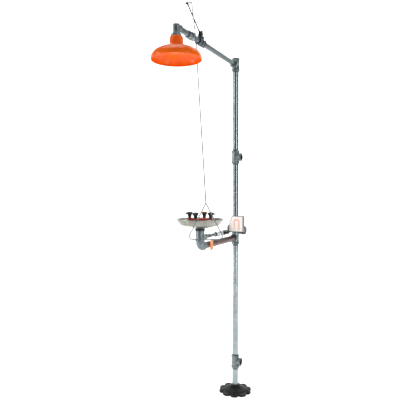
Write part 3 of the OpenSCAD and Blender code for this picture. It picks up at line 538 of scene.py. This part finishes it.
def dome_line(edge, tall, inner, steps=48):
    """Points from the dome's edge in to the radius inner, closer together where it is steep."""
    radii = [inner + (edge - inner) * math.sin(math.pi / 2 * i / steps) for i in range(steps, -1, -1)]
    return [(r, LIP + dome(r, edge, tall)) for r in radii]


def head_outline():
    neck = rounded([(INLET_RADIUS, HEAD_HEIGHT), (NECK_RADIUS, HEAD_HEIGHT),
                    (NECK_RADIUS, DOME_HEIGHT + WALL),
                    (NECK_FOOT_RADIUS, DOME_HEIGHT - NECK_FOOT_DROP)], NECK_ROUND)
    outer = dome_line(HEAD_RADIUS, DOME_HEIGHT - LIP, NECK_FOOT_RADIUS + 2)[::-1]
    inside = HEAD_RADIUS - WALL - 1
    rim = rounded([(HEAD_RADIUS, LIP - 1), (HEAD_RADIUS, 0), (inside, 0), (inside, LIP - 1)], LIP_ROUND)
    inner = dome_line(HEAD_RADIUS - WALL, DOME_HEIGHT - LIP - WALL, NECK_RADIUS - WALL)
    bore = rounded([(SOCKET_RADIUS, DOME_HEIGHT - WALL - 1), (SOCKET_RADIUS, HEAD_HEIGHT - SOCKET_ROOF),
                    (INLET_RADIUS, HEAD_HEIGHT - SOCKET_ROOF)], SOCKET_ROUND)
    return spaced([Vector(p) for p in [*neck, *outer, *rim, *inner, *bore]], longest=5)


def head_ripple(radius, height, angle):
    on_neck = SOCKET_RADIUS + 1 < radius < NECK_RADIUS + 4
    if on_neck and DOME_HEIGHT + RIB_END < height < HEAD_HEIGHT - RIB_END:
        return RIB_DEPTH * math.cos(RIB_COUNT * angle)
    return 0.0


def head_groove(outline):
    """Press the parting groove into the upper skin of the dome."""
    top = DOME_HEIGHT * 0.35
    for r, z in outline:
        depth = GROOVE_DEPTH * max(0.0, 1 - abs(r - GROOVE_RADIUS) / GROOVE_WIDTH)
        above = z > LIP + dome(r, HEAD_RADIUS, DOME_HEIGHT - LIP) - 1 and z > top
        yield Vector((r, z - (depth if above else 0)))


head_profile = list(head_groove(head_outline()))
piece("shower_head_shell",
      lambda shape: lathe(shape, head_profile, upright(head_axis), RIB_COUNT * POINTS_PER_RIB, head_ripple),
      orange_abs, "frame", ["shower_head"])

# %% [markdown]
# ## The eyewash bowl
# Spun from 1.5 mm sheet over a wooden form: a flat seat, a shallow cone, a round shoulder and a rim that
# is turned out so that nobody is cut. The outline goes down one side of the sheet and back up the other.

# %% Eyewash bowl
low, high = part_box("eyewash_bowl")
BOWL_RADIUS = (high.x - low.x) / 2 / MM
BOWL_HEIGHT = (high.z - low.z) / MM
SHEET, SPIGOT, SEAT, CONE_TOP, CONE_EDGE, SHOULDER_ROUND = 1.5, 23.2, 33.0, 20.5, 29.0, 9.0


def bowl_outline():
    cone = BOWL_RADIUS - CONE_EDGE
    wide, tall = BOWL_RADIUS, BOWL_HEIGHT
    under = [(SPIGOT, 0), (SEAT, 0), (cone, CONE_TOP), (wide - 6, tall - 7), (wide - 5, tall - 4),
             (wide, tall - 3)]
    over = [(wide, tall), (wide - 5.5, tall - 0.6), (wide - 7.5, tall - 6), (cone - SHEET, CONE_TOP + SHEET),
            (SEAT, SHEET), (SPIGOT, SHEET)]
    return spaced(rounded(under, SHOULDER_ROUND) + rounded(over, SHOULDER_ROUND), longest=8)


piece("eyewash_bowl_shell", lambda shape: lathe(shape, bowl_outline(), upright(bowl_axis), 144),
      spun_steel, "frame", ["eyewash_bowl"])

# %% [markdown]
# ## The pull rod
# One 6.5 mm stainless bar: hooked through the lever's eye, kinked once, and bent round into a triangle
# that a gloved or blinded hand finds at once. A bent bar has no mitred corners, so it is swept along
# its route with every corner rounded.

# %% Pull rod
low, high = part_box("pull_rod")
ROD_RADIUS, HOOK_OUT, HOOK_BACK, ROD_ROUND, SPARE = 3.25, 28, 13, 9, 0.05
HANDLE_WIDTH, HANDLE_HEIGHT, CORNER, HANDLE_TURN = 209, 205, 18, 26.3
KINK_FORWARD, KINK_DROP = 8, 15
eye = joint_place("rod_hang")
turn = math.radians(HANDLE_TURN)
across = Vector((math.cos(turn), math.sin(turn), 0))
slope = math.atan2(HANDLE_HEIGHT, HANDLE_WIDTH / 2)
reach = HANDLE_WIDTH / 2 - CORNER / math.tan(slope / 2) + CORNER
handle_foot = Vector((high.x, low.y, low.z)) + mm(
    -(reach * math.cos(turn) + ROD_RADIUS + SPARE), reach * math.sin(turn) + ROD_RADIUS, ROD_RADIUS)
handle_top = handle_foot + mm(0, 0, HANDLE_HEIGHT)
arm_low, arm_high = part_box("shower_arm")
arm_height = (arm_low.z + arm_high.z) / 2
kink = Vector((eye.x, handle_foot.y, arm_height)) + mm(HOOK_OUT + 1, KINK_FORWARD, -KINK_DROP)


def rod_mesh(shape):
    hook = [eye + mm(-HOOK_BACK, 0, 0), eye + mm(HOOK_OUT, 0, 0), eye + mm(HOOK_OUT, 3, -12)]
    shank = [*hook, kink, handle_top]
    tube(shape, rounded(shank, ROD_ROUND * MM), ROD_RADIUS * MM, 20)
    right, left = (handle_foot + across * side * HANDLE_WIDTH / 2 * MM for side in (1, -1))
    tube(shape, rounded([handle_top, right, left, handle_top], CORNER * MM, 12), ROD_RADIUS * MM, 20)


piece("pull_rod_bar", rod_mesh, drawn_steel, "rod", ["pull_rod"])
print("rod handle foot at", tuple(round(v, 4) for v in handle_foot))

# %% [markdown]
# ## Flat pieces with round corners
# Label, ink and tag are cut from sheet. Their outlines are a few corners, rounded, and then given a
# thickness. A punched hole is one more ring: because the outline can be seen whole from the hole's
# centre, each point of the hole simply faces one point of the outline.

# %% Flat pieces


def rounded_outline(points, radius):
    """A closed outline with every corner rounded."""
    points = [Vector(p) for p in points]
    middle = (points[0] + points[-1]) / 2
    return spaced(rounded([middle, *points, middle], radius), longest=4)[:-1]


def facing(origin, right, up):
    """A flat frame at origin: X is right, Y is up, and Z stands out from the sheet."""
    axes = Matrix((right, up, Vector(right).cross(Vector(up)))).transposed()
    return Matrix.Translation(origin) @ axes.to_4x4()


def plate(shape, outline, thickness, place):
    rings = [[place @ mm(p.x, p.y, z) for p in outline] for z in (0, thickness)]
    skin(shape, rings, ends=True)


def punched_plate(shape, outline, thickness, place, hole, hole_radius):
    rim = [hole + (p - hole).normalized() * hole_radius for p in outline]
    levels = [(rim, 0), (outline, 0), (outline, thickness), (rim, thickness), (rim, 0)]
    skin(shape, [[place @ mm(p.x, p.y, z) for p in ring] for ring, z in levels])


def stripe(shape, path, width, thickness, place):
    """A flat band of ink along a path."""
    rings = []
    for i, point in enumerate(path):
        along = (path[min(i + 1, len(path) - 1)] - path[max(i - 1, 0)]).normalized()
        side = Vector((-along.y, along.x)) * width / 2
        corners = ((-1, 0), (1, 0), (1, thickness), (-1, thickness))
        rings.append([place @ mm(*(point + s * side), z) for s, z in corners])
    skin(shape, rings, ends=True)


print("flat pieces can have", len(rounded_outline([(0, 0), (40, 0), (40, 60), (0, 60)], 4)), "points")

# %% [markdown]
# ## The push flag's label
# A printed film with a plain arch and a ground line, the simplest sign for "push here". It is inset from
# the steel on every side, so the sheet shows as a thin dark frame.

# %% Flag label
low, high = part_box("flag_label")
LABEL_WIDTH, LABEL_HEIGHT = (high.x - low.x) / MM, (high.z - low.z) / MM
TOP_SLANT, SLANT_START, LABEL_ROUND, INK = 22.0, 34.0, 3.0, 0.05
ARCH_RADIUS, ARCH_WIDTH, ARCH_FOOT, ARCH_SPRING, ARCH_STEPS = 17.0, 9.0, -26, 12, 20
GROUND_HEIGHT, GROUND_WIDTH, GROUND_OUT, GROUND_IN, SIGN_SHIFT = -33, 5.4, 8, 6, 6
film = facing(Vector((low.x, high.y, low.z)), (1, 0, 0), (0, 0, 1))
film_thickness = (high.y - low.y) / MM - INK
film_corners = [(0, 0), (LABEL_WIDTH, 0), (LABEL_WIDTH, LABEL_HEIGHT), (TOP_SLANT, LABEL_HEIGHT),
                (0, SLANT_START)]
film_outline = rounded_outline(film_corners, LABEL_ROUND)
piece("flag_label_film", lambda shape: plate(shape, film_outline, film_thickness, film),
      label_film, "flag", ["flag_label"])
ink = film @ Matrix.Translation(mm(LABEL_WIDTH / 2 + SIGN_SHIFT, LABEL_HEIGHT / 2, film_thickness))
bend = [Vector((-ARCH_RADIUS * math.cos(a), ARCH_SPRING + ARCH_RADIUS * math.sin(a)))
        for a in (math.pi * i / ARCH_STEPS for i in range(ARCH_STEPS + 1))]
arch = [Vector((-ARCH_RADIUS, ARCH_FOOT)), *bend, Vector((ARCH_RADIUS, ARCH_FOOT))]
piece("flag_label_arch", lambda shape: stripe(shape, arch, ARCH_WIDTH, INK, ink),
      label_ink, "flag")
for name, side in (("left", -1), ("right", 1)):
    foot = [Vector((side * out, GROUND_HEIGHT)) for out in (ARCH_RADIUS + GROUND_OUT, GROUND_IN)]
    piece(f"flag_label_foot_{name}", lambda shape, foot=foot: stripe(shape, foot, GROUND_WIDTH, INK, ink),
          label_ink, "flag")

# %% [markdown]
# ## The inspection tag
# A vinyl tag with clipped shoulders, a cream eyelet round its hole whose pale colour is a painted highlight,
# and a loop of wire round the supply pipe. Real wire has no corners, so it is a tube with every bend rounded.

# %% Inspection tag
low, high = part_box("inspection_tag")
TAG_HALF, TAG_HEIGHT = (high.y - low.y) / 2 / MM, (high.z - low.z) / MM
SHOULDER, SHOULDER_DROP, TAG_ROUND = 10.0, 12.0, 3.0
HOLE_DROP, HOLE_RADIUS, EYELET_RADIUS, EYELET_THICKNESS, EYELET_STEPS = 9.0, 3.5, 7.0, 0.3, 36
WIRE_RADIUS, WIRE_ROUND, WIRE_GAP, WIRE_RISE = 0.9, 3.0, 1.6, 13
vinyl_thickness = (high.x - low.x) / MM - EYELET_THICKNESS
sheet_of_tag = facing(Vector((low.x, (low.y + high.y) / 2, high.z)), (0, 1, 0), (0, 0, 1))
tag_corners = [(TAG_HALF - SHOULDER, 0), (TAG_HALF, -SHOULDER_DROP), (TAG_HALF, -TAG_HEIGHT),
               (-TAG_HALF, -TAG_HEIGHT), (-TAG_HALF, -SHOULDER_DROP), (SHOULDER - TAG_HALF, 0)]
tag_outline = rounded_outline(tag_corners, TAG_ROUND)
tag_hole = Vector((0, -HOLE_DROP))
piece("inspection_tag_vinyl",
      lambda shape: punched_plate(shape, tag_outline, vinyl_thickness, sheet_of_tag, tag_hole, HOLE_RADIUS),
      tag_vinyl, "tag", ["inspection_tag"])
circle = [tag_hole + EYELET_RADIUS * Vector((math.cos(a), math.sin(a)))
          for a in (math.tau * i / EYELET_STEPS for i in range(EYELET_STEPS))]
raised = sheet_of_tag @ Matrix.Translation(mm(0, 0, vinyl_thickness))
# The eyelet's cream colour is a painted highlight on the tag.
piece("inspection_tag_eyelet",
      lambda shape: punched_plate(shape, circle, EYELET_THICKNESS, raised, tag_hole, HOLE_RADIUS),
      cream_highlight_eyelet, "tag")
wire_low, wire_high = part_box("tag_wire")
hang = Vector((0, sheet_of_tag.translation.y, joint_place("tag_swing").z))
loop_radius = (wire_high.z - hang.z) / MM - WIRE_RADIUS


def wire_mesh(shape):
    ring = [hang + mm(loop_radius * math.cos(a), 0, loop_radius * math.sin(a))
            for a in (math.tau * i / 40 for i in range(40))]
    tube(shape, ring, WIRE_RADIUS * MM, 10, closed=True)
    inside, outside = low.x / MM - WIRE_GAP, wire_high.x / MM - WIRE_RADIUS
    foot = (wire_low.z - hang.z) / MM + WIRE_RADIUS
    drop = [hang + mm(loop_radius, 0, 0), hang + mm(inside, 0, foot), hang + mm(outside, 0, foot),
            hang + mm(outside, 0, foot + WIRE_RISE), hang + mm(loop_radius, 0, 0)]
    tube(shape, rounded(drop, WIRE_ROUND * MM), WIRE_RADIUS * MM, 10)


piece("tag_wire_loop", wire_mesh, dark_bar, "tag", ["tag_wire"])

# %% [markdown]
# ## Cut threads
# A few turns of taper thread always stay in sight where a pipe enters a fitting. They are a
# helix: the radius rises and falls with height, and that wave moves on by one pitch per turn. Pipe of
# this size has 11.5 threads to the inch, a pitch of 2.2 mm, and half-inch pipe has 14, or 1.8 mm.

# %% Cut threads
THREAD_LENGTH, THREAD_DEPTH, THREAD_SINK = 10.0, 0.55, 0.2
POINTS_PER_PITCH, POINTS_ROUND = 8, 40
AXES = {"x": Vector((1, 0, 0)), "y": Vector((0, 1, 0)), "z": Vector((0, 0, 1))}


def exposed_thread(pipe, fitting, axis, side, pitch):
    """Thread on a pipe where it leaves a fitting: side is +1 or -1 along the axis."""
    low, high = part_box(pipe)
    middle = (low + high) / 2
    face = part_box(fitting)[1 if side > 0 else 0]
    k = "xyz".index(axis)
    middle[k] = face[k]
    radius = (high["xyz".index("x" if axis != "x" else "y")] - middle.x) / MM
    along = AXES[axis] * side
    place = Matrix.Translation(middle) @ along.to_track_quat("Z", "Y").to_matrix().to_4x4()

    def turns(r, height, angle):
        wave = 1 - abs(2 * ((height / pitch - angle / math.tau) % 1) - 1)
        return THREAD_DEPTH * (wave - THREAD_SINK) if r >= radius else 0.0

    steps = round(THREAD_LENGTH / pitch * POINTS_PER_PITCH)
    outer = [(radius, THREAD_LENGTH * i / steps) for i in range(steps + 1)]
    outline = [(radius - 1, 0.0), *outer, (radius - 1, THREAD_LENGTH)]
    piece(f"thread_{pipe}_at_{fitting}", lambda shape: lathe(shape, outline, place, POINTS_ROUND, turns),
          thread_steel, "frame")


RISER_PITCH, BRANCH_PITCH = 2.2, 1.8
THREADS = [
    ("drain_nipple", "floor_flange", "z", 1), ("drain_nipple", "drain_tee", "z", -1),
    ("lower_standpipe", "drain_tee", "z", 1), ("lower_standpipe", "divider_tee", "z", -1),
    ("middle_standpipe", "divider_tee", "z", 1), ("middle_standpipe", "supply_tee", "z", -1),
    ("upper_standpipe", "supply_tee", "z", 1), ("upper_standpipe", "top_tee", "z", -1),
    ("shower_arm", "arm_bushing", "y", -1), ("shower_arm", "shower_valve_body", "y", 1),
    ("valve_nipple", "shower_valve_body", "y", -1), ("valve_nipple", "arm_union", "y", 1),
    ("front_nipple", "arm_union", "y", -1), ("front_nipple", "street_elbow", "y", 1),
    ("waste_pipe", "waste_elbow", "y", 1), ("waste_pipe", "divider_tee", "y", -1),
    ("rear_supply_nipple", "divider_tee", "y", -1), ("rear_supply_nipple", "eyewash_valve_body", "y", 1),
    ("middle_supply_nipple", "eyewash_valve_end", "y", -1), ("middle_supply_nipple", "strainer_body", "y", 1),
    ("front_supply_nipple", "strainer_body", "y", -1),
]
for pipe, fitting, axis, side in THREADS:
    exposed_thread(pipe, fitting, axis, side, BRANCH_PITCH if "supply_nipple" in pipe else RISER_PITCH)

# %% [markdown]
# ## Floor, backdrop and light
# A pipe is a mirror that shows its room more than itself. So the room is plain and dim, to give the zinc
# something dark to mirror, and two tall strips of light stand left and right: each draws one long bright
# line down every upright pipe. The pale floor curves up into a backdrop and glows a little by itself,
# as paper does when its own lamps light it. One wide light hangs overhead, and one washes the backdrop.

# %% Stage and light
FLOOR_HALF, BACK, CURVE_RADIUS, WALL_TOP = 9.0, 5.0, 2.0, 7.0
TOWARDS_CAMERA = Matrix.Rotation(math.radians(26), 4, "Z")


def sweep_backdrop(shape):
    profile = rounded([(-FLOOR_HALF, 0), (BACK, 0), (BACK, WALL_TOP)], CURVE_RADIUS, 24)
    rows = [[shape.verts.new(TOWARDS_CAMERA @ Vector((side, y, z))) for y, z in profile]
            for side in (-FLOOR_HALF, FLOOR_HALF)]
    for i in range(len(profile) - 1):
        shape.faces.new((rows[0][i], rows[1][i], rows[1][i + 1], rows[0][i + 1]))


backdrop_paper = surface("backdrop_paper", "#f7f7f6", "#f3f3f2", (0.6, 0.7), 400, [(3, 0.02, 0.2)],
                         Emission_Color=colour("#ffffff"), Emission_Strength=0.55)
shape = bmesh.new()
sweep_backdrop(shape)
data = bpy.data.meshes.new("backdrop")
shape.to_mesh(data)
shape.free()
data.shade_smooth()
data.materials.append(backdrop_paper)
backdrop = bpy.data.objects.new("backdrop", data)
bpy.context.scene.collection.objects.link(backdrop)


def soft_light(name, place, target, size, power):
    data = bpy.data.lights.new(name, "AREA")
    data.shape = "RECTANGLE"
    data.size, data.size_y = size
    data.energy = power
    lamp = bpy.data.objects.new(name, data)
    bpy.context.scene.collection.objects.link(lamp)
    lamp.location = place
    lamp.rotation_mode = "QUATERNION"
    lamp.rotation_quaternion = (Vector(target) - Vector(place)).to_track_quat("-Z", "Y")


soft_light("key_strip", place=(-2.7, -2.6, 1.7), target=(0, -0.3, 1.3), size=(0.8, 3.4), power=75)
soft_light("fill_strip", place=(2.9, -1.5, 1.7), target=(0, -0.3, 1.3), size=(0.5, 3.2), power=40)
soft_light("top_light", place=(-0.3, -1.0, 5.2), target=(0, -0.6, 1.5), size=(2.5, 2.5), power=70)
soft_light("back_light", place=(0.0, 2.2, 5.5), target=(0.0, 5.5, 1.5), size=(6.0, 2.0), power=260)
world = bpy.data.worlds.new("grey_room")
bpy.context.scene.world = world
world.use_nodes = True
room = world.node_tree.nodes["Background"]
room.inputs["Color"].default_value = colour("#e8ecef")
room.inputs["Strength"].default_value = 0.22
bpy.context.scene.view_settings.view_transform = "Standard"
print("stage and four soft lights are set")

# %% [markdown]
